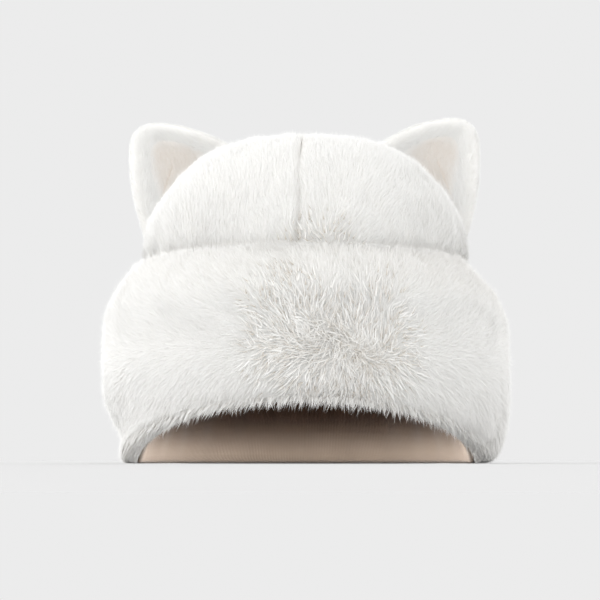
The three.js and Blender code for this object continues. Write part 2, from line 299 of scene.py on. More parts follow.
def cuff_ring(u, v):
    """The whole closed section of the cuff, carried round."""
    half, up = along(CUFF_LOOP, v)
    furry = v * (len(CUFF_LOOP) - 1) < len(CUFF_FURRY)
    return cuff_at(2 * np.pi * u - np.pi, half, up, furry)


def cuff_face(u, v):
    """The furry side of the cuff, from the foot's inner edge to the shoulder's end."""
    half, up = along(CUFF_FURRY, v)
    return cuff_at(2 * np.pi * u - np.pi, half, up, 1)


def dome(half, top, start, steps):
    """A quarter of a superellipse: half width and height, from a share of the quarter up to the top."""
    angle = np.linspace(start, 1, steps) * np.pi / 2
    bend = 2 / DOME_POWER
    across = np.append(np.cos(angle[:-1]) ** bend, 0)
    return np.stack((half * across, SPRING_HEIGHT + (top - SPRING_HEIGHT) * np.sin(angle) ** bend), axis=-1)


def crown_profile():
    """Half width and height up the crown: hem, pressed wall, neck, then a superellipse to the top."""
    half = DOME_HALF - CROWN_PILE
    wall = (
        (PRESSED_HALF + flare(HEM_HEIGHT), HEM_HEIGHT),
        (PRESSED_HALF, FLARE_HEIGHT),
        (PRESSED_HALF, SPRING_HEIGHT),
        (half - NECK_INSET, NECK_HEIGHT),
    )
    hidden = even(wall, WALL_STEPS)
    shown = np.concatenate((hidden[-1:], dome(half, CROWN_TOP - CROWN_PILE, *CROWN_ARC)))
    return np.concatenate((hidden[:-1], even(shown, DOME_STEPS)))


CROWN_PROFILE = crown_profile()
CROWN_VISIBLE = (WALL_STEPS - 2) / (len(CROWN_PROFILE) - 1)


def seam_away(turn, half):
    """Distance round from the nearer of the front and back seams, signed at the front seam."""
    front = (turn - SEAM_TURN + np.pi) % (2 * np.pi) - np.pi
    back = (turn % (2 * np.pi)) - np.pi
    return np.where(np.abs(front) < np.abs(back), front, back) * half


def crown_at(turn, v):
    """A point of the crown's backing, drawn in at the ears and dipped along the seams."""
    half, up = along(CROWN_PROFILE, v)
    shown = np.clip((up - SPRING_HEIGHT) / SEAM_START, 0, 1)
    settled = np.clip((half - SEAM_END) / SEAM_FADE, 0, 1)
    dip = -SEAM_DEEP * np.exp(-((seam_away(turn, half) / SEAM_WIDE) ** 2)) * settled
    rise = (dip + swell(CROWN_SWELLS, turn, up)) * shown
    steep = np.clip((up - SPRING_HEIGHT) / (CROWN_TOP - SPRING_HEIGHT), 0, 1) ** 2
    return around(turn, half + rise * (1 - steep / 2), up + rise * steep)


def crown_half(side):
    """One crown panel as a surface: from the front seam to the back seam, or back to front on the left."""
    start, end = (SEAM_TURN, np.pi) if side > 0 else (np.pi, 2 * np.pi + SEAM_TURN)

    def surface(u, v):
        return crown_at(start + (end - start) * u, v) + np.array((side * SEAM_GAP / 2, 0, 0))

    return surface


def ear_outline():
    """The ear's outline, four quadratic curves, as points evenly spaced round it."""
    t = np.linspace(0, 1, ARC_STEPS)[:, None]
    curves = [
        start * (1 - t) ** 2 + bend * 2 * t * (1 - t) + end * t**2
        for start, bend, end in np.array(EAR_CURVES, float)
    ]
    return even(np.concatenate(curves), OUTLINE_STEPS)


EAR_OUTLINE = ear_outline()
RING_SCALE = np.array((60.0, 1.0))  # the outline's share counts as about this many millimetres
EAR_SECTION = even(rounded(EAR_RINGS) * RING_SCALE, SECTION_STEPS) / RING_SCALE


def off_crown(points):
    """Points deep in the crown, moved out along their ray from the dome's middle to just inside its fur."""
    middle = np.array((0, 0, SPRING_HEIGHT))
    ray = points - middle
    round_out = np.hypot(ray[..., 0], ray[..., 1] / DEPTH_RATIO) / DOME_HALF
    height = np.clip(ray[..., 2], 0, None) / (CROWN_TOP - SPRING_HEIGHT)
    scale = (round_out**DOME_POWER + height**DOME_POWER) ** (-1 / DOME_POWER)
    turn = np.arctan2(points[..., 0], -points[..., 1] / DEPTH_RATIO)
    reach = np.linalg.norm(ray, axis=-1) * scale
    drawn = swell(CROWN_SWELLS, turn, SPRING_HEIGHT + ray[..., 2] * scale) - EAR_SUNK
    scale = scale * (1 + drawn / reach)
    return middle + ray * np.maximum(scale, 1)[..., None]


def ear_place(side, flat, depth):
    """A point of the ear's own plane, put into the hat: cupped forward, slanted, leaned back, mirrored."""
    sign, lift, size, slant = EARS[side]
    slant = np.radians(slant)
    cup = EAR_CUP * (flat[..., 0] / EAR_HALF_BASE) ** 2
    x, z = flat[..., 0] * size, flat[..., 1] * size
    y = -(depth + cup)
    x, z = x * np.cos(slant) - z * np.sin(slant), x * np.sin(slant) + z * np.cos(slant)
    y, z = y * np.cos(EAR_LEAN) + z * np.sin(EAR_LEAN), z * np.cos(EAR_LEAN) - y * np.sin(EAR_LEAN)
    placed = np.stack((x, y, z), axis=-1) + np.array(EAR_BASE) + np.array((0, 0, lift))
    return placed * np.array((-sign, 1, 1))


def ear_flat(side, u, share):
    """A point between the ear's hub and its outline. The right ear runs the other way round."""
    turn = 1 - u if EARS[side][0] > 0 else u
    rim = np.stack(along(EAR_OUTLINE, turn), axis=-1)
    return EAR_HUB + (rim - EAR_HUB) * share[..., None]


def ear_body(side):
    """The padded ear: its rings carried round the outline, within the pile, and seated on the crown."""

    def surface(u, v):
        share, depth = along(EAR_SECTION, v)
        inset = 1 - EAR_PILE / EAR_HALF_BASE
        flat = ear_flat(side, np.asarray(u) % 1, share * inset)
        return off_crown(ear_place(side, flat, depth * EAR_THIN))

    return surface


def hollow_depth(share):
    """Depth of the ear's hollow front at a share of its outline."""
    front = EAR_SECTION[: np.argmax(EAR_SECTION[:, 1]) + 1]
    return np.interp(share, front[:, 0], front[:, 1])


def ear_patch(side):
    """The inner ear cloth: a shallow lens that follows the hollow front, from its middle out and back."""

    def surface(u, v):
        share = PATCH_SHARE * (1 - np.abs(2 * v - 1))
        wall = PATCH_WALL * np.where(v < 0.5, 1, 0) * np.clip((1 - share / PATCH_SHARE) / PATCH_TAPER, 0, 1)
        flat = ear_flat(side, np.asarray(u) % 1, share)
        depth = hollow_depth(share) * EAR_THIN + PATCH_CLEAR + wall
        return off_crown(ear_place(side, flat, depth))

    return surface


def lining_profile():
    """Half width and height of the lining's outer face: hem, flare, straight wall, then a superellipse."""
    half = MOUTH_HALF + LINING_WALL
    wall = (
        (FOOT_INNER - HEM_INSET, HEM_FOOT),
        (half + flare(HEM_TURN), HEM_TURN),
        (half, FLARE_HEIGHT),
        (half, SPRING_HEIGHT),
    )
    top = dome(half, CROWN_TOP - LINING_DROP, *LINING_ARC)
    return even(np.concatenate((wall, top)), LINING_STEPS)


LINING_PROFILE = lining_profile()


def lining_bag(u, v):
    """The lining: its profile carried round, with slack pleats that shrink towards hem and top."""
    half, up = along(LINING_PROFILE, v)
    turn = 2 * np.pi * u - np.pi
    narrow, wide = PLEAT_TOP
    slack = np.clip(up / PLEAT_START, PLEAT_LEAST, 1) * np.clip((half - narrow) / (wide - narrow), 0, 1)
    wave = np.sin(LINING_PLEATS * turn + PLEAT_UNEVEN * np.sin(3 * turn) + PLEAT_LEAN * up)
    wave = wave + BROAD_SHARE * np.sin(BROAD_PLEATS * turn + 1)
    return around(turn, half - slack * (PLEAT_SLACK + PLEAT_DEEP * wave), up)


# Meshes


def mesh_of(name, corners, loops, counts):
    """A mesh object from arrays: points in millimetres, corner numbers face by face, corners to a face."""
    mesh = bpy.data.meshes.new(name)
    mesh.vertices.add(len(corners))
    mesh.vertices.foreach_set("co", (np.asarray(corners) * MM).astype(np.float32).ravel())
    mesh.loops.add(len(loops))
    mesh.loops.foreach_set("vertex_index", np.asarray(loops, np.int32).ravel())
    mesh.polygons.add(len(counts))
    starts = np.concatenate(([0], np.cumsum(counts)[:-1]))
    mesh.polygons.foreach_set("loop_start", starts.astype(np.int32))
    mesh.polygons.foreach_set("use_smooth", np.ones(len(counts), bool))
    mesh.update(calc_edges=True)
    piece = bpy.data.objects.new(name, mesh)
    bpy.context.scene.collection.objects.link(piece)
    return piece


def add_map(piece, name, places):
    """A UV map from one place for each face corner."""
    layer = piece.data.uv_layers.new(name=name)
    layer.uv.foreach_set("vector", np.asarray(places, np.float32).ravel())


def sheet(name, surface, counts, closed=(False, False), poles=(False, False), scale=(1.0, 1.0)):
    """A surface as a mesh of four-cornered faces. A closed side joins its ends, a pole end is one point.

    Its map, named cloth, holds the two shares times the scale.
    """
    n, m = counts
    u = np.arange(n) / (n if closed[0] else n - 1)
    v = np.arange(m) / (m if closed[1] else m - 1)
    grid = surface(*np.meshgrid(u, v, indexing="ij"))
    number = np.arange(n * m).reshape(n, m)
    if poles[0]:
        number[:, 0] = number[0, 0]
    if poles[1]:
        number[:, -1] = number[0, -1]
    rows = np.concatenate((number, number[:1])) if closed[0] else number
    rows = np.concatenate((rows, rows[:, :1]), axis=1) if closed[1] else rows
    quads = np.stack((rows[:-1, :-1], rows[1:, :-1], rows[1:, 1:], rows[:-1, 1:]), axis=-1)
    share_u = np.arange(rows.shape[0]) / (rows.shape[0] - 1)
    share_v = np.arange(rows.shape[1]) / (rows.shape[1] - 1)
    spots = np.stack(np.meshgrid(share_u, share_v, indexing="ij"), axis=-1) * np.array(scale)
    cloth = np.stack((spots[:-1, :-1], spots[1:, :-1], spots[1:, 1:], spots[:-1, 1:]), axis=2)
    quads = quads.reshape(-1, 4)
    kept = quads != np.roll(quads, 1, axis=1)
    used, loops = np.unique(quads[kept], return_inverse=True)
    piece = mesh_of(name, grid.reshape(-1, 3)[used], loops, kept.sum(1))
    add_map(piece, "cloth", cloth.reshape(-1, 4, 2)[kept])
    return piece


SCATTER_CELLS = (240, 120)


def scatter(surface, count, rng, low, high):
    """Places strewn evenly over part of a surface: cells drawn by their area, then a spot in the cell."""
    n, m = SCATTER_CELLS
    u = low[0] + (high[0] - low[0]) * np.linspace(0, 1, n + 1)
    v = low[1] + (high[1] - low[1]) * np.linspace(0, 1, m + 1)
    grid = surface(*np.meshgrid(u, v, indexing="ij"))
    sides = np.cross(grid[1:, 1:] - grid[:-1, :-1], grid[:-1, 1:] - grid[1:, :-1])
    area = np.cumsum(np.linalg.norm(sides, axis=-1).ravel())
    draw = (np.arange(count) + rng.random(count)) / count
    cell = np.minimum(np.searchsorted(area, draw * area[-1]), n * m - 1)
    place_u = u[0] + (cell // m + rng.random(count)) / n * (u[-1] - u[0])
    place_v = v[0] + (cell % m + rng.random(count)) / m * (v[-1] - v[0])
    return place_u, place_v


def tangents(surface, u, v):
    """The surface's points, outward normals and rates of change round and up, by small differences."""
    step = 4e-4
    round_rate = (surface(u + step, v) - surface(u - step, v)) / (2 * step)
    low, high = np.maximum(v - step, 0), np.minimum(v + step, 1)
    up_rate = (surface(u, high) - surface(u, low)) / (high - low)[:, None]
    return surface(u, v), unit(np.cross(round_rate, up_rate)), round_rate, up_rate


# Each corner's place across and along a strand: the two sides of its root, then its tip
STRAND_ACROSS = np.array((-1.0, 1.0, 0.0))
STRAND_ALONG = np.array((0.0, 0.0, 1.0))
TONE_WIDTH = 0.006
MAP_EDGE = 0.02
FLOOR_CLEAR = 0.15


def strands(name, root, tip, across, tone):
    """Fur as one mesh of blades, each a thin triangle from the two sides of its root to its tip.

    The map, named strand, has each blade's tone across and its length, root to tip, upwards.
    """
    count = len(root)
    points = np.stack((root - across / 2, root + across / 2, tip), axis=1)
    points[..., 2] = np.maximum(points[..., 2], FLOOR_CLEAR)
    piece = mesh_of(name, points.reshape(-1, 3), np.arange(count * 3), np.full(count, 3))
    tone = np.clip(tone, MAP_EDGE, 1 - MAP_EDGE)[:, None]
    spot_across = tone + TONE_WIDTH * STRAND_ACROSS
    spot_along = MAP_EDGE + (1 - 2 * MAP_EDGE) * STRAND_ALONG
    spots = np.stack(np.broadcast_arrays(spot_across, spot_along), axis=-1)
    add_map(piece, "strand", spots.reshape(-1, 2))
    add_map(piece, "OFBake", spots.reshape(-1, 2))
    return piece


POLE_TURN = 0.05  # a strand that would turn by more of the way round lies at a pole
FLYAWAY_SHARE = 0.05
FLYAWAY_LIFT = np.radians(20)
BLADE_ROLL = 0.3


def coat(name, surface, u, v, way, length, lift, width, tone, rng, raised=0.0, tucked=False, flyaway=0.0):
    """Strands combed over a surface. Each tip lies where its way leads over the surface, raised by its
    lift, so that the coat follows the form. Past the surface's ends, and at a pole, it runs straight on
    instead, unless it is tucked in at the start. A strand may start raised, within the pile, and a share
    of them fly up. A blade's flat side faces out, rolled a little at random.
    """
    lift = lift + FLYAWAY_LIFT * (rng.random(len(u)) < flyaway)
    root, normal, round_rate, up_rate = tangents(surface, u, v)
    step_u = (way * round_rate).sum(-1) / np.maximum((round_rate**2).sum(-1), 1)
    step_v = (way * up_rate).sum(-1) / np.maximum((up_rate**2).sum(-1), 1)
    reach = length * np.cos(lift)
    ahead = v + reach * step_v
    bent = surface(u + reach * step_u, np.clip(ahead, 0, 1))
    straight = root + way * reach[:, None]
    beyond = (np.abs(reach * step_u) > POLE_TURN) | (ahead > 1) | ((ahead < 0) & (not tucked))
    root = root + normal * np.broadcast_to(raised, len(u))[:, None]
    tip = np.where(beyond[:, None], straight, bent) + normal * (raised + length * np.sin(lift))[:, None]
    roll = rng.normal(0, BLADE_ROLL, len(u))[:, None]
    side = np.cross(unit(tip - root), normal)
    across = (np.cos(roll) * side + np.sin(roll) * normal) * width[:, None]
    return strands(name, root, tip, across, tone)


# Strands: width, and spreads of width and length as shares; how far they stand up, in degrees
STRAND_WIDTH = 0.32
WIDTH_SPREAD = (0.75, 1.2)
LENGTH_SPREAD = (0.65, 1.2)
LIFT_RANGE = (6, 75)
LIFT_WANDER = 2.0
LIFT_WAVE = 14.0
LIFT_SPREAD = 4.0
RUFFLED_SPREAD = 3.0  # more spread in lift where ruffled
# Wavelengths of the combed ways and their spreads in degrees, and the spread that ruffled fur adds
LONG_COMB = (60, 9)
MIDDLE_SPREAD = 6
SHORT_COMB = (6, 5)
RUFFLED_COMB = 8
# Guard hairs, where the fur is ruffled
GUARD_SHARE = 0.12
GUARD_WIDTH = 0.75
GUARD_RAISED = 1.7
GUARD_LIFT = 12.0
GUARD_LEVEL = 0.4  # share of the other strands' spread in lift
RUFFLE_GAIN = 1.8
RUFFLE_FROM = 0.5
# Tones run from 0, white, to 1, the tint
PALE_TONE = 0.03
TONE_SPREAD = 0.03
# guard hairs painted dark as shade between the ruffled locks: their share and tone
SHADED_GUARD_SHARE = 0.55
SHADED_GUARD_TONE = (0.45, 0.95)


def ruffle(near, lift, rng):
    """Broad guard hairs among the strands where the fur is ruffled. They start up in the pile and lie on
    it, and some are painted dark, as shade between the locks. Gives each strand's start, lift in degrees,
    width and tone.
    """
    count = len(near)
    guard = rng.random(count) < GUARD_SHARE * np.clip(RUFFLE_GAIN * near - RUFFLE_FROM, 0, 1)
    shaded_guard = guard & (rng.random(count) < SHADED_GUARD_SHARE)
    lift = np.where(guard, GUARD_LIFT + GUARD_LEVEL * (lift - lift.mean()), lift)
    width = np.where(guard, GUARD_WIDTH, STRAND_WIDTH) * rng.uniform(*WIDTH_SPREAD, count)
    tone = PALE_TONE + shaded_guard * rng.uniform(*SHADED_GUARD_TONE, count) + TONE_SPREAD * rng.normal(size=count)
    return GUARD_RAISED * guard, lift, width, tone


def lengths(base, vary, points, seed, rng):
    """Strand lengths: a base, a slow wander of some share and wavelength, and a random spread."""
    share, size = vary
    return base * (1 + share * ripple(points, size, seed + 7)) * rng.uniform(*LENGTH_SPREAD, len(points))


def lifts(base, near, points, seed, rng):
    """Lifts of strands in degrees: a base, a slow wander and a random spread, wider where ruffled."""
    slow = LIFT_WANDER * ripple(points, LIFT_WAVE, seed + 8)
    return base + slow + (LIFT_SPREAD + RUFFLED_SPREAD * near) * rng.normal(size=len(points))


def combed(way, normal, points, angles, seed):
    """Ways turned about the normal by smooth random angles: pairs of wavelength and spread in degrees."""
    turn = sum(
        np.radians(spread) * ripple(points, size, seed + number)
        for number, (size, spread) in enumerate(angles)
    )[:, None]
    return np.cos(turn) * way + np.sin(turn) * np.cross(normal, way)


def wander(middle, near):
    """Pairs of wavelength and spread for combed fur: long, middling and short, wider where ruffled."""
    short, spread = SHORT_COMB
    more = RUFFLED_COMB * near
    return (LONG_COMB, (middle, MIDDLE_SPREAD + more), (short, spread + more))


def over(normal, way):
    """Ways laid flat on the surface, of unit length."""
    return unit(way - normal * (way * normal).sum(-1, keepdims=True))


# Materials


def shader_group(name, inputs, outputs):
    """An empty shader node group: name, kind and default of each input, name and kind of each output."""
    tree = bpy.data.node_groups.new(name, "ShaderNodeTree")
    for label, kind, value in inputs:
        socket = tree.interface.new_socket(label, in_out="INPUT", socket_type=kind)
        socket.default_value = value
    for label, kind in outputs:
        tree.interface.new_socket(label, in_out="OUTPUT", socket_type=kind)
    return tree, tree.nodes.new("NodeGroupInput"), tree.nodes.new("NodeGroupOutput")


def add(tree, kind, **values):
    """A new node, with settings given by name and input values given by i and their number."""
    made = tree.nodes.new(kind)
    for key, value in values.items():
        if key[0] == "i" and key[1:].isdigit():
            made.inputs[int(key[1:])].default_value = value
        else:
            setattr(made, key, value)
    return made


def maths(tree, operation, a, b=0.0):
    """A maths node on two values or outputs, and its result."""
    made = add(tree, "ShaderNodeMath", operation=operation)
    for socket, value in zip(made.inputs, (a, b)):
        if isinstance(value, (int, float)):
            socket.default_value = value
        else:
            tree.links.new(value, socket)
    return made.outputs[0]


def blend(tree, share, a, b):
    """A colour mix of two colours or outputs, and its result."""
    made = add(tree, "ShaderNodeMix", data_type="RGBA")
    for socket, value in ((made.inputs[0], share), (made.inputs[6], a), (made.inputs[7], b)):
        if isinstance(value, (int, float, tuple)):
            socket.default_value = value
        else:
            tree.links.new(value, socket)
    return made.outputs[2]


TIP_POWER = 0.6  # below 1, the tip's colour starts early along a strand
TINT_FADE = 0.8  # share of the tint that is gone at the tip


def fibre_group():
    """Colour of a strand from its map: root to tip along it, and a tint, strongest at the root, that
    differs from strand to strand.
    """
    colour = "NodeSocketColor"
    tree, given, out = shader_group(
        "fibre colour",
        (("Root", colour, (1, 1, 1, 1)), ("Tip", colour, (1, 1, 1, 1)), ("Tint", colour, (1, 1, 1, 1))),
        (("Color", colour),),
    )
    place = add(tree, "ShaderNodeUVMap", uv_map="strand")
    parts = add(tree, "ShaderNodeSeparateXYZ")
    tree.links.new(place.outputs[0], parts.inputs[0])
    ripen = maths(tree, "POWER", parts.outputs[1], TIP_POWER)
    shade = blend(tree, ripen, given.outputs["Root"], given.outputs["Tip"])
    depth = maths(tree, "SUBTRACT", 1.0, maths(tree, "MULTIPLY", ripen, TINT_FADE))
    tinted = blend(tree, maths(tree, "MULTIPLY", parts.outputs[0], depth), shade, given.outputs["Tint"])
    tree.links.new(tinted, out.inputs["Color"])
    return tree


def mottle_group():
    """A mask of soft blotches and a height of fine combed grain, from Object coordinates in millimetres."""
    value = "NodeSocketFloat"
    tree, given, out = shader_group(
        "pile mottle",
        (("Blotch", value, 0.05), ("Grain", value, 1.2)),
        (("Mask", value), ("Height", value)),
    )
    place = add(tree, "ShaderNodeTexCoord")
    size = add(tree, "ShaderNodeVectorMath", operation="SCALE")
    size.inputs["Scale"].default_value = 1 / MM
    tree.links.new(place.outputs["Object"], size.inputs[0])
    blotch = add(tree, "ShaderNodeTexNoise")
    grain = add(tree, "ShaderNodeTexNoise")
    for noise, label, detail in ((blotch, "Blotch", 3.0), (grain, "Grain", 2.0)):
        tree.links.new(size.outputs[0], noise.inputs["Vector"])
        tree.links.new(given.outputs[label], noise.inputs["Scale"])
        noise.inputs["Detail"].default_value = detail
    tree.links.new(blotch.outputs[0], out.inputs["Mask"])
    tree.links.new(grain.outputs[0], out.inputs["Height"])
    return tree


def principled(name, roughness, sheen):
    """A material with its Principled shader set for matt cloth, and its tree."""
    made = bpy.data.materials.new(name)
    made.use_nodes = True
    shader = made.node_tree.nodes["Principled BSDF"]
    shader.inputs["Roughness"].default_value = roughness
    shader.inputs["Specular IOR Level"].default_value = 0.2
    shader.inputs["Sheen Weight"].default_value = sheen
    shader.inputs["Sheen Roughness"].default_value = 0.6
    return made, made.node_tree, shader


def strand_material(name, group, root, tip, tint, sheen):
    """Strands coloured along their length and from one to the next."""
    made, tree, shader = principled(name, roughness=0.8, sheen=sheen)
    colour = add(tree, "ShaderNodeGroup", node_tree=group)
    for socket, value in zip(colour.inputs, (root, tip, tint)):
        socket.default_value = value
    tree.links.new(colour.outputs[0], shader.inputs["Base Color"])
    return made


def backing_material(name, group, light, dark, sheen, height):
    """Dense underfur or plush: soft blotches between two tones, with a fine combed bump."""
    made, tree, shader = principled(name, roughness=0.95, sheen=sheen)
    pattern = add(tree, "ShaderNodeGroup", node_tree=group)
    tree.links.new(blend(tree, pattern.outputs["Mask"], light, dark), shader.inputs["Base Color"])
    bump = add(tree, "ShaderNodeBump")
    bump.inputs["Strength"].default_value = 0.6
    bump.inputs["Distance"].default_value = height * MM
    tree.links.new(pattern.outputs["Height"], bump.inputs["Height"])
    tree.links.new(bump.outputs[0], shader.inputs["Normal"])
    return made


# Lining knit: direction and scale of its ribs and courses, and the heights over which the painted light at
# its hem turns to painted shade further inside
KNIT_WAVES = (("X", 0.32), ("Y", 0.45))
KNIT_BUMP = 0.5
BLOTCH_SHARE = 0.7
LINING_SHADE_RISE = (4.0, 34.0)


def knit_material(name, group, hem, inside):
    """Lining cloth: fine ribs and courses on its own map, with soft blotches between the darker and the
    lighter tone of a pair. A paler pair paints light at the hem and a much darker pair paints shade further
    inside.
    """
    made, tree, shader = principled(name, roughness=0.85, sheen=0.35)
    pattern = add(tree, "ShaderNodeGroup", node_tree=group)
    place = add(tree, "ShaderNodeUVMap", uv_map="cloth")
    waves = []
    for direction, size in KNIT_WAVES:
        wave = add(tree, "ShaderNodeTexWave", bands_direction=direction)
        wave.inputs["Scale"].default_value = size
        wave.inputs["Distortion"].default_value = 0.6
        wave.inputs["Detail"].default_value = 1.0
        tree.links.new(place.outputs[0], wave.inputs["Vector"])
        waves.append(wave.outputs["Fac"])
    rib = maths(tree, "MULTIPLY", waves[0], waves[1])
    blotch = maths(tree, "MULTIPLY", pattern.outputs["Mask"], BLOTCH_SHARE)
    tone = maths(tree, "ADD", blotch, maths(tree, "MULTIPLY", rib, 1 - BLOTCH_SHARE))
    parts = add(tree, "ShaderNodeSeparateXYZ")
    tree.links.new(place.outputs[0], parts.inputs[0])
    # painted light at the hem turns to painted shade further up inside
    depth = add(tree, "ShaderNodeMapRange", interpolation_type="SMOOTHSTEP", i1=LINING_SHADE_RISE[0], i2=LINING_SHADE_RISE[1])
    tree.links.new(parts.outputs[1], depth.inputs[0])
    cloth = blend(tree, depth.outputs[0], blend(tree, tone, *hem), blend(tree, tone, *inside))
    tree.links.new(cloth, shader.inputs["Base Color"])
    bump = add(tree, "ShaderNodeBump")
    bump.inputs["Strength"].default_value = 0.5
    bump.inputs["Distance"].default_value = KNIT_BUMP * MM
    tree.links.new(rib, bump.inputs["Height"])
    tree.links.new(bump.outputs[0], shader.inputs["Normal"])
    return made


FIBRE = fibre_group()
MOTTLE = mottle_group()
WHITE_FUR = strand_material(
    "white_fur",
    FIBRE,
    root=(0.91, 0.90, 0.87, 1),
    tip=(0.97, 0.97, 0.96, 1),
    tint=(0.40, 0.34, 0.26, 1),
    sheen=0.2,
)
BEIGE_FUR = strand_material(
    "beige_plush",
    FIBRE,
    root=(0.92, 0.91, 0.89, 1),
    tip=(0.97, 0.96, 0.94, 1),
    tint=(0.80, 0.70, 0.60, 1),
    sheen=0.2,
)
UNDERFUR = backing_material(
    "underfur", MOTTLE, light=(0.94, 0.93, 0.91, 1), dark=(0.90, 0.89, 0.86, 1), sheen=0.3, height=1.2
)
EAR_CLOTH = backing_material(
    "ear_cloth", MOTTLE, light=(0.90, 0.87, 0.83, 1), dark=(0.86, 0.82, 0.77, 1), sheen=0.3, height=0.8
)
LINING_CLOTH = knit_material(
    "lining_cloth",
    MOTTLE,
    # pale pair: painted light at the hem; dark pair: painted shade deep inside
    hem=((0.38, 0.29, 0.22, 1), (0.48, 0.38, 0.30, 1)),
    inside=((0.09, 0.04, 0.02, 1), (0.15, 0.085, 0.05, 1)),
)


def dress(piece, material, slot, *nodes):
    """Gives a piece its material, sets it on the hat's body and hides the solids it stands for. The slot is
    not used.
    """
    piece.data.materials.append(material)
    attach(piece, BODY)
    if nodes:
        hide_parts(*nodes)
    return piece


def thicken(piece, wall):
    """A wall of even thickness, inwards."""
    solid = piece.modifiers.new("wall", "SOLIDIFY")
    solid.thickness = wall * MM
    solid.offset = -1
    solid.use_even_offset = True


# Cuff fur

WHORL_TURN = np.radians(11)
WHORL_HEIGHT = 61.0
WHORL_HALF = 15.0
WHORL_REACH = 37.0
WHORL_SET = (8.0, 4.0)  # the ruffled part lies left of the parting and above it
PARTING_REACH = 9.0
PARTING_WANDER = 5.0
PARTING_DOUBT = 10.0  # fur strays within this height of the parting, all round
BEHIND_FROM = np.radians(95)
BEHIND_TO = np.radians(150)
BEHIND_RISE = 36.0
SPREAD_ROUND = 30.0  # the fur lies fully sideways this far round from the parting
SPREAD_UP = 22.0  # and fully up or down this far from it
SPREAD_MOST = 0.9
SPREAD_WITHIN = 0.4  # share of the sideways lie that starts at the parting's middle, not at its ends
CUFF_COMB = 17
# How far strands stray at random: everywhere, where ruffled, at the parting's height and at the parting
CUFF_STRAY = 0.12
RUFFLED_STRAY = 0.05
DOUBT_STRAY = 0.3
PARTED_STRAY = 0.3
CREST_FROM = 0.93
CREST_LIFT = 30.0
# the shoulder's painted shade grows over these shares of the furry side
SHOULDER_SHADE_FROM = 0.64
SHOULDER_SHADE_TO = 0.84
CUFF_LENGTH = 7.4
CUFF_VARY = (0.08, 22)
CUFF_LIFT = 18.0
PARTING_LIFT = 20.0
# Painted shade added to the tones: at the parting, together with its darker roots, towards the rim and over
# the shoulder, more on its right
PARTING_ROOTS_AND_SHADE = 0.2
RIM_PAINTED_SHADE = 0.28
RIM_SHADE_FADE = 0.18
SHOULDER_PAINTED_SHADE = 0.24
SHOULDER_SHADE_RIGHT = 0.4


def cuff_fur(name, count, low, high, seed):
    """Fur of one stretch of the cuff: it spreads from a short parting on the front, upwards over it,
    downwards under it and to both sides. Behind, it parts near the top and falls. It is ruffled about the
    front parting, has painted shade at the parting, towards the rim and over the shoulder, and stands up
    along its top.
    """
    rng = np.random.default_rng(seed)
    u, v = scatter(cuff_face, count, rng, (low, 0.0), (high, 1.0))
    root, normal, round_rate, up_rate = tangents(cuff_face, u, v)
    turn = 2 * np.pi * u - np.pi
    span = (turn - WHORL_TURN) * CUFF_HALF
    behind = np.clip((np.abs(turn) - BEHIND_FROM) / (BEHIND_TO - BEHIND_FROM), 0, 1)
    rise = root[:, 2] - WHORL_HEIGHT - BEHIND_RISE * behind - PARTING_WANDER * ripple(root, 45, 5)
    past = span - np.clip(span, -WHORL_HALF, WHORL_HALF)
    near = np.exp(-((np.hypot(past + WHORL_SET[0], rise - WHORL_SET[1]) / WHORL_REACH) ** 2))
    parted = np.exp(-((np.hypot(past, rise) / PARTING_REACH) ** 2))
    aside = SPREAD_WITHIN * span + (1 - SPREAD_WITHIN) * past
    across = np.clip(aside / SPREAD_ROUND, -SPREAD_MOST, SPREAD_MOST) * np.cos(turn / 2)
    upward = np.clip(rise / SPREAD_UP, -1, 1)
    way = over(normal, unit(round_rate) * across[:, None] + unit(up_rate) * upward[:, None])
    way = combed(way, normal, root, wander(CUFF_COMB, near), seed)
    doubt = np.exp(-((rise / PARTING_DOUBT) ** 2))
    stray = CUFF_STRAY + RUFFLED_STRAY * near + DOUBT_STRAY * doubt + PARTED_STRAY * parted
    way = over(normal, way + stray[:, None] * rng.normal(size=way.shape))
    length = lengths(CUFF_LENGTH, CUFF_VARY, root, seed, rng)
    crest = np.clip((v - CREST_FROM) / (1 - CREST_FROM), 0, 1)
    lift = lifts(CUFF_LIFT + PARTING_LIFT * parted, near, root, seed, rng)
    raised, lift, width, tone = ruffle(near, lift + CREST_LIFT * crest, rng)
    lift = np.radians(np.clip(lift, *LIFT_RANGE))
    shoulder = np.clip((v - SHOULDER_SHADE_FROM) / (SHOULDER_SHADE_TO - SHOULDER_SHADE_FROM), 0, 1)
    # painted shade: at the parting (with its darker roots), towards the rim, and over the shoulder, more on
    # the right
    tone = tone + PARTING_ROOTS_AND_SHADE * parted + RIM_PAINTED_SHADE * np.exp(-v / RIM_SHADE_FADE)
    tone = tone + SHOULDER_PAINTED_SHADE * shoulder * (1 + SHOULDER_SHADE_RIGHT * np.sin(turn))
    given = (u, v, way, length, lift, width, tone, rng, raised)
    return coat(name, cuff_face, *given, tucked=True, flyaway=FLYAWAY_SHARE)


FRINGE_LOCKS = 2600
FRINGE_SEED = 51
LOCK_STRANDS = 4
FRINGE_ROUND = (0.24, 0.76)  # share of the way round, from the back
FRINGE_UP = (0.0, 0.08)  # share of the cuff's furry side, from its foot
FRINGE_LENGTH = 8.6
FRINGE_SPREAD = (0.45, 1.2)
FRINGE_WIDTH = 0.3
FRINGE_SPLAY = 0.9  # locks lean to the sides by this much at the ends of the arch
FRINGE_SLANT = -0.35
FRINGE_OUT = 0.25
FRINGE_STRAY = 0.25
FRINGE_WAVE = 9.0
FRINGE_LOWEST = 0.8  # share of its height over the floor that a lock may hang down
LOCK_APART = 0.3
LOCK_LENGTHS = (0.6, 1.05)
LOCK_END = 0.15
FRINGE_TONE = 0.05
# share of fringe strands painted dark as shade in the gaps between the locks, and their tone
FRINGE_SHADED_SHARE = 0.3
FRINGE_SHADE_TONE = 0.7


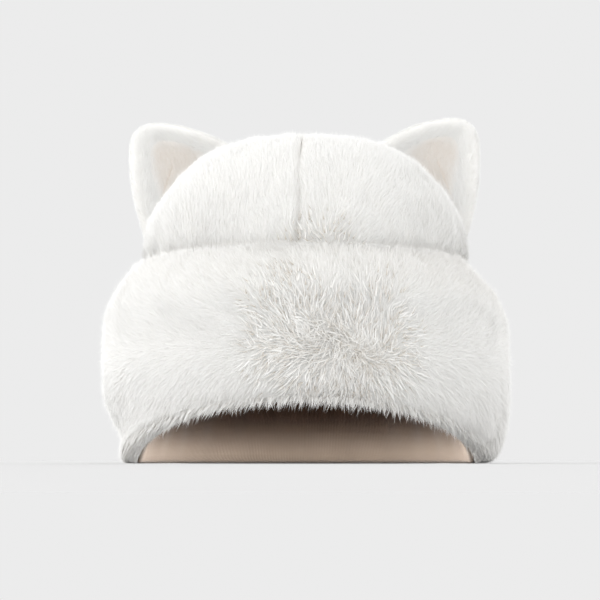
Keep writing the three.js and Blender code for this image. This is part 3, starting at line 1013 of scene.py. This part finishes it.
def rim_fringe(name, count, seed):
    """Short locks that hang free from the rim's lower edge, where it is arched off the floor. The strands
    of a lock start apart and end together, and some are painted dark, as shade between the locks.
    """
    rng = np.random.default_rng(seed)
    low, high = zip(FRINGE_ROUND, FRINGE_UP)
    u, v = scatter(cuff_face, count, rng, low, high)
    root, _, round_rate, _ = tangents(cuff_face, u, v)
    turn = 2 * np.pi * u - np.pi
    outward = np.stack((np.sin(turn), -np.cos(turn), 0 * turn), axis=-1)
    lean = FRINGE_SPLAY * np.sin(turn) + FRINGE_SLANT + FRINGE_STRAY * ripple(root, FRINGE_WAVE, seed)
    fall = np.array((0, 0, -1.0)) + unit(round_rate) * lean[:, None] + FRINGE_OUT * outward
    fall = unit(fall + FRINGE_STRAY * rng.normal(size=root.shape))
    length = FRINGE_LENGTH * rng.uniform(*FRINGE_SPREAD, count)
    length = np.minimum(length, FRINGE_LOWEST * root[:, 2])
    lock = np.repeat(np.arange(count), LOCK_STRANDS)
    count = len(lock)
    start = root[lock] + unit(round_rate)[lock] * rng.normal(0, LOCK_APART, (count, 1))
    tip = root[lock] + (fall * length[:, None])[lock] * rng.uniform(*LOCK_LENGTHS, (count, 1))
    tip = tip + LOCK_END * rng.normal(size=tip.shape)
    width = FRINGE_WIDTH * rng.uniform(*WIDTH_SPREAD, count)
    across = unit(np.cross(outward, fall))[lock] * width[:, None]
    # some strands painted dark, as shade between the locks
    tone = FRINGE_TONE * (1 + rng.normal(size=count)) + FRINGE_SHADE_TONE * (rng.random(count) < FRINGE_SHADED_SHARE)
    return strands(name, start, tip, across, tone)


# Crown fur

TUFT_TURN = np.radians(4)
TUFT_HEIGHT = 112.0
TUFT_REACH = 26.0
CROWN_LENGTH = 6.8
CROWN_VARY = (0.10, 20)
CROWN_COMB = 15
CROWN_LIFT = 20.0
CROWN_STRAY = 0.14
LOW_REACH = 16.0  # near the cuff, over about this height, the fur lies flatter and goes up
LOW_LIFT = 12.0
PARTING_WIDE = 4.0
PARTING_LEAN = 0.35
SHORT_WIDE = 2.5  # strands are shorter this near to a seam
SHORT_SHARE = 0.35
# painted shade in the groove along each seam: its width, where it is full, and its strength
SEAM_SHADE_WIDE = 1.6
SEAM_SHADE_FULL = 60.0  # half width where the seam's painted shade is full
SEAM_PAINTED_SHADE = 0.3


def crown_fur(name, side, count, seed):
    """Fur of one crown panel: combed up the front, over the top and down the back, parted at the seams,
    with a fanned tuft over the cuff.
    """
    rng = np.random.default_rng(seed)
    surface = crown_half(side)
    u, v = scatter(surface, count, rng, (0.0, CROWN_VISIBLE), (1.0, 0.999))
    root, normal, round_rate, up_rate = tangents(surface, u, v)
    turn = np.arctan2(root[:, 0], -root[:, 1] / DEPTH_RATIO)
    half = np.hypot(root[:, 0], root[:, 1] / DEPTH_RATIO)
    away = seam_away(turn, half)
    settled = np.clip((half - SEAM_END) / SEAM_FADE, 0, 1)
    parting = np.exp(-np.abs(away) / PARTING_WIDE) * np.sign(away) * settled
    span = (turn - TUFT_TURN) * half
    rise = root[:, 2] - TUFT_HEIGHT
    near = np.exp(-((np.hypot(span, rise) / TUFT_REACH) ** 2)) * (np.cos(turn) > 0)
    fan = unit(np.stack((span, rise), axis=-1))
    sideways = np.array((1.0, 0.0, 0.0))
    low = np.exp((SPRING_HEIGHT - root[:, 2]) / LOW_REACH)
    way = np.cross(normal, sideways) + PARTING_LEAN * parting[:, None] * sideways
    way = way + low[:, None] * unit(up_rate)
    fanned = unit(round_rate) * fan[:, :1] + unit(up_rate) * fan[:, 1:]
    way = over(normal, (1 - near)[:, None] * way + near[:, None] * fanned)
    way = combed(way, normal, root, wander(CROWN_COMB, near), seed)
    way = over(normal, way + CROWN_STRAY * rng.normal(size=way.shape))
    length = lengths(CROWN_LENGTH, CROWN_VARY, root, seed, rng)
    length = length * (1 - SHORT_SHARE * settled * np.exp(-((away / SHORT_WIDE) ** 2)))
    lift = lifts(CROWN_LIFT - LOW_LIFT * low, near, root, seed, rng)
    raised, lift, width, tone = ruffle(near, lift, rng)
    lift = np.radians(np.clip(lift, *LIFT_RANGE))
    # painted shade along the seams
    seam_shade = np.exp(-((away / SEAM_SHADE_WIDE) ** 2)) * np.clip(half / SEAM_SHADE_FULL, 0, 1)
    tone = tone + SEAM_PAINTED_SHADE * seam_shade
    given = (u, v, way, length, lift, width, tone, rng, raised)
    return coat(name, surface, *given, flyaway=FLYAWAY_SHARE)


# Ear fur


def section_place(found):
    """Share of the ear's section at which something is first found."""
    return float(np.argmax(found) / (len(EAR_SECTION) - 1))


PATCH_OVERLAP = 0.06  # the rim's fur starts this share of the outline inside the patch's edge
RIM_PLACE = section_place(EAR_SECTION[:, 0] >= EAR_SECTION[:, 0].max())
PATCH_END = section_place(EAR_SECTION[:, 0] > PATCH_SHARE - PATCH_OVERLAP)
# How far the fur goes over the rim to the back, by its place before and behind the rim
RIM_BEFORE = (-0.16, -0.06, 0.06, 0.16)
RIM_OVER = (-0.4, 1, 1, 0)
EAR_LENGTH = 6.0
EAR_VARY = (0.05, 14)
EAR_COMB = ((20, 6), (6, 6))
EAR_TIP = 0.35  # how far sideways the fur goes on its way up to the tip
EAR_WANDER = 0.02
EAR_WIDTH = 0.30
EAR_LIFT = 14.0
EAR_STRAY = 0.18
PATCH_LENGTH = 5.0
PATCH_SPREAD = (0.7, 1.25)
PATCH_WIDTH = 0.28
PATCH_LIFT = 13.0
PATCH_STRAY = 0.25
PATCH_TONE = 0.95
PATCH_WANDER = 0.08
PATCH_SPECKLE = 0.12
PATCH_TIP = 0.4


def ear_fur(name, side, count, seed):
    """Fur of an ear's rim and back, combed up to the tip, over the patch's edge and back over the rim."""
    rng = np.random.default_rng(seed)
    surface = ear_body(side)
    u, v = scatter(surface, count, rng, (0.0, PATCH_END), (1.0, 0.995))
    root, normal, _, up_rate = tangents(surface, u, v)
    outer = np.interp(v - RIM_PLACE, RIM_BEFORE, RIM_OVER)[:, None]
    tip_way = np.array((EAR_TIP * EARS[side][0], 0.0, 1.0))
    way = over(normal, unit(up_rate) * outer + tip_way)
    way = combed(way, normal, root, EAR_COMB, seed)
    way = over(normal, way + EAR_STRAY * rng.normal(size=way.shape))
    length = lengths(EAR_LENGTH, EAR_VARY, root, seed, rng)
    lift = np.radians(np.clip(EAR_LIFT + LIFT_SPREAD * rng.normal(size=count), *LIFT_RANGE))
    tone = PALE_TONE + EAR_WANDER * ripple(root, 20, seed + 9) + TONE_SPREAD * rng.normal(size=count)
    width = EAR_WIDTH * rng.uniform(*WIDTH_SPREAD, count)
    return coat(name, surface, u, v, way, length, lift, width, tone, rng)


def patch_fur(name, side, count, seed):
    """Short plush of an inner ear, combed up to the tip, beige but for its edge."""
    rng = np.random.default_rng(seed)
    surface = ear_patch(side)
    u, v = scatter(surface, count, rng, (0.0, 0.01), (1.0, 0.49))
    root, normal, _, _ = tangents(surface, u, v)
    way = np.array((PATCH_TIP * EARS[side][0], 0.0, 1.0)) + PATCH_STRAY * rng.normal(size=root.shape)
    length = PATCH_LENGTH * rng.uniform(*PATCH_SPREAD, count)
    lift = np.radians(np.clip(PATCH_LIFT + LIFT_SPREAD * rng.normal(size=count), *LIFT_RANGE))
    tone = PATCH_TONE * (1 - (2 * v) ** 4) + PATCH_WANDER * ripple(root, 12, seed + 9)
    tone = tone + PATCH_SPECKLE * rng.normal(size=count)
    width = PATCH_WIDTH * rng.uniform(*WIDTH_SPREAD, count)
    return coat(name, surface, u, v, over(normal, way), length, lift, width, tone, rng)


# Pieces

# Stretches of cuff fur: name, strands, start and end round the cuff from the back, seed
CUFF_STRETCHES = (
    ("cuff_fur_left", 80000, 0.0, 0.34, 11),
    ("cuff_fur_front", 120000, 0.34, 0.68, 21),
    ("cuff_fur_right", 75000, 0.68, 1.0, 31),
)
CROWN_STRANDS = 100000
EAR_STRANDS = 26000
PATCH_STRANDS = 9000
CROWN_WALL = 4.8
LINING_LENGTH = 230.0  # of its map
# Points round and along each backing
CUFF_GRID = (180, 90)
CROWN_GRID = (72, 60)
EAR_GRID = (72, 48)
PATCH_GRID = (56, 25)
LINING_GRID = (8 * LINING_PLEATS, 110)


def build_cuff():
    """The padded cuff's backing, a closed ring, and its fur in three stretches."""
    backing = sheet("cuff_backing", cuff_ring, CUFF_GRID, (True, True))
    dress(backing, UNDERFUR, "white_fur", "cuff")
    for name, count, low, high, seed in CUFF_STRETCHES:
        dress(cuff_fur(name, count, low, high, seed), WHITE_FUR, "white_fur")
    dress(rim_fringe("rim_fringe", FRINGE_LOCKS, FRINGE_SEED), WHITE_FUR, "white_fur")


def build_crown():
    """Both crown panels, each a walled sheet with its fur."""
    for side, label, seed in ((-1, "left", 41), (1, "right", 61)):
        panel = sheet("crown_backing_" + label, crown_half(side), CROWN_GRID, poles=(False, True))
        thicken(panel, CROWN_WALL)
        dress(panel, UNDERFUR, "white_fur", "crown_panel_" + label)
        dress(crown_fur("crown_fur_" + label, side, CROWN_STRANDS, seed), WHITE_FUR, "white_fur")


def build_ears():
    """Each ear's padded body with its fur, and the plush patch in its hollow."""
    for label, seed in (("left", 81), ("right", 101)):
        body = sheet("ear_backing_" + label, ear_body(label), EAR_GRID, (True, False), (True, True))
        dress(body, UNDERFUR, "white_fur", "ear_" + label)
        dress(ear_fur("ear_fur_" + label, label, EAR_STRANDS, seed), WHITE_FUR, "white_fur")
        patch = sheet("inner_ear_cloth_" + label, ear_patch(label), PATCH_GRID, (True, False), (True, True))
        dress(patch, EAR_CLOTH, "inner_ear_plush", "inner_ear_" + label)
        plush = patch_fur("inner_ear_fur_" + label, label, PATCH_STRANDS, seed + 10)
        dress(plush, BEIGE_FUR, "inner_ear_plush")


def build_lining():
    """The lining bag, one walled sheet with a pole at its top."""
    size = (2 * np.pi * MOUTH_HALF, LINING_LENGTH)
    bag = sheet("lining_bag", lining_bag, LINING_GRID, (True, False), (False, True), size)
    thicken(bag, LINING_WALL)
    dress(bag, LINING_CLOTH, "lining_cloth", "lining")


# Stage

FLOOR_SIZE = 16000.0
FLOOR_TONE = (0.8216, 0.8216, 0.8216, 1)
SKY_TONE = (0.838, 0.838, 0.838, 1)
AMBIENT_TONE = (0.64, 0.64, 0.64, 1)
# Sunlike lamps: name, where each shines from, spread in degrees, strength
SUNS = (
    ("left_key", (-1000, -450, 480), 50, 1.36),
    ("right_fill", (1000, -200, 300), 50, 0.70),
    ("front_fill", (0, -1000, 240), 30, 0.98),
    ("back_fill", (200, 1000, 260), 50, 0.9),
)
GLOW_STRIPS = 11
GLOW_TURNS = (80, 280)
GLOW_AWAY = 18.0
GLOW_HEIGHT = 2.0
GLOW_SIZE = (30.0, 3.0)
GLOW_STRENGTH = 0.0016
GLOW_ENDS = 2.1  # how much brighter the end strips are


def put(thing, place, aim):
    """Stands a lamp or camera at a place, in millimetres, looking at a point."""
    thing.location = Vector(place) * MM
    look = Vector(aim) - Vector(place)
    thing.rotation_euler = look.to_track_quat("-Z", "Y").to_euler()
    bpy.context.scene.collection.objects.link(thing)
    return thing


def studio_sky():
    """An even backdrop that lights the hat more dimly than it looks, so that the lamps shape it."""
    world = bpy.data.worlds.new("sky")
    world.use_nodes = True
    tree = world.node_tree
    backdrop = tree.nodes["Background"]
    backdrop.inputs[0].default_value = SKY_TONE
    ambient = add(tree, "ShaderNodeBackground")
    ambient.inputs[0].default_value = AMBIENT_TONE
    rays = add(tree, "ShaderNodeLightPath")
    pick = add(tree, "ShaderNodeMixShader")
    tree.links.new(rays.outputs["Is Camera Ray"], pick.inputs[0])
    tree.links.new(ambient.outputs[0], pick.inputs[1])
    tree.links.new(backdrop.outputs[0], pick.inputs[2])
    tree.links.new(pick.outputs[0], tree.nodes["World Output"].inputs[0])
    return world


def light_mouth():
    """Short strip lamps in a row low inside the back of the mouth, each facing the lining's foot."""
    turns = np.radians(np.linspace(*GLOW_TURNS, GLOW_STRIPS))
    places = around(turns, MOUTH_HALF + RIM_FLARE - GLOW_AWAY, GLOW_HEIGHT)
    aims = around(turns, MOUTH_HALF + RIM_FLARE, GLOW_HEIGHT)
    ends = np.linspace(-1, 1, GLOW_STRIPS)
    for place, aim, end in zip(places, aims, ends):
        lamp = bpy.data.lights.new("mouth_glow", "AREA")
        lamp.shape = "RECTANGLE"
        lamp.size = GLOW_SIZE[0] * MM
        lamp.size_y = GLOW_SIZE[1] * MM
        lamp.energy = GLOW_STRENGTH * (1 + GLOW_ENDS * end**2)
        put(bpy.data.objects.new("mouth_glow", lamp), place, aim).visible_camera = False


def floor_at(u, v):
    """A flat square under the hat."""
    return np.stack(((u - 0.5) * FLOOR_SIZE, (v - 0.5) * FLOOR_SIZE, 0 * u), axis=-1)


def build_stage():
    """A pale floor, an even sky, broad suns led by the left one, the mouth's lamps and the camera."""
    floor = sheet("floor", floor_at, (9, 9))
    made, _, shader = principled("floor_paper", roughness=0.9, sheen=0.0)
    shader.inputs["Base Color"].default_value = FLOOR_TONE
    shader.inputs["Specular IOR Level"].default_value = 0.0
    floor.data.materials.append(made)
    scene = bpy.context.scene
    scene.view_settings.view_transform = "Standard"
    scene.world = studio_sky()
    for name, place, softness, strength in SUNS:
        lamp = bpy.data.lights.new(name, "SUN")
        lamp.angle = np.radians(softness)
        lamp.energy = strength
        put(bpy.data.objects.new(name, lamp), place, (0, 0, 0))
    light_mouth()
    camera = bpy.data.cameras.new("camera")
    camera.sensor_width = SENSOR
    camera.lens = SENSOR * np.hypot(CAMERA_AWAY, CAMERA_AIM[2] - CAMERA_HEIGHT) / (PICTURE * PIXEL)
    camera.clip_end = CAMERA_REACH
    place = (CAMERA_AIM[0], -CAMERA_AWAY, CAMERA_HEIGHT)
    scene.camera = put(bpy.data.objects.new("camera", camera), place, CAMERA_AIM)


build_cuff()
build_crown()
build_ears()
build_lining()
build_stage()
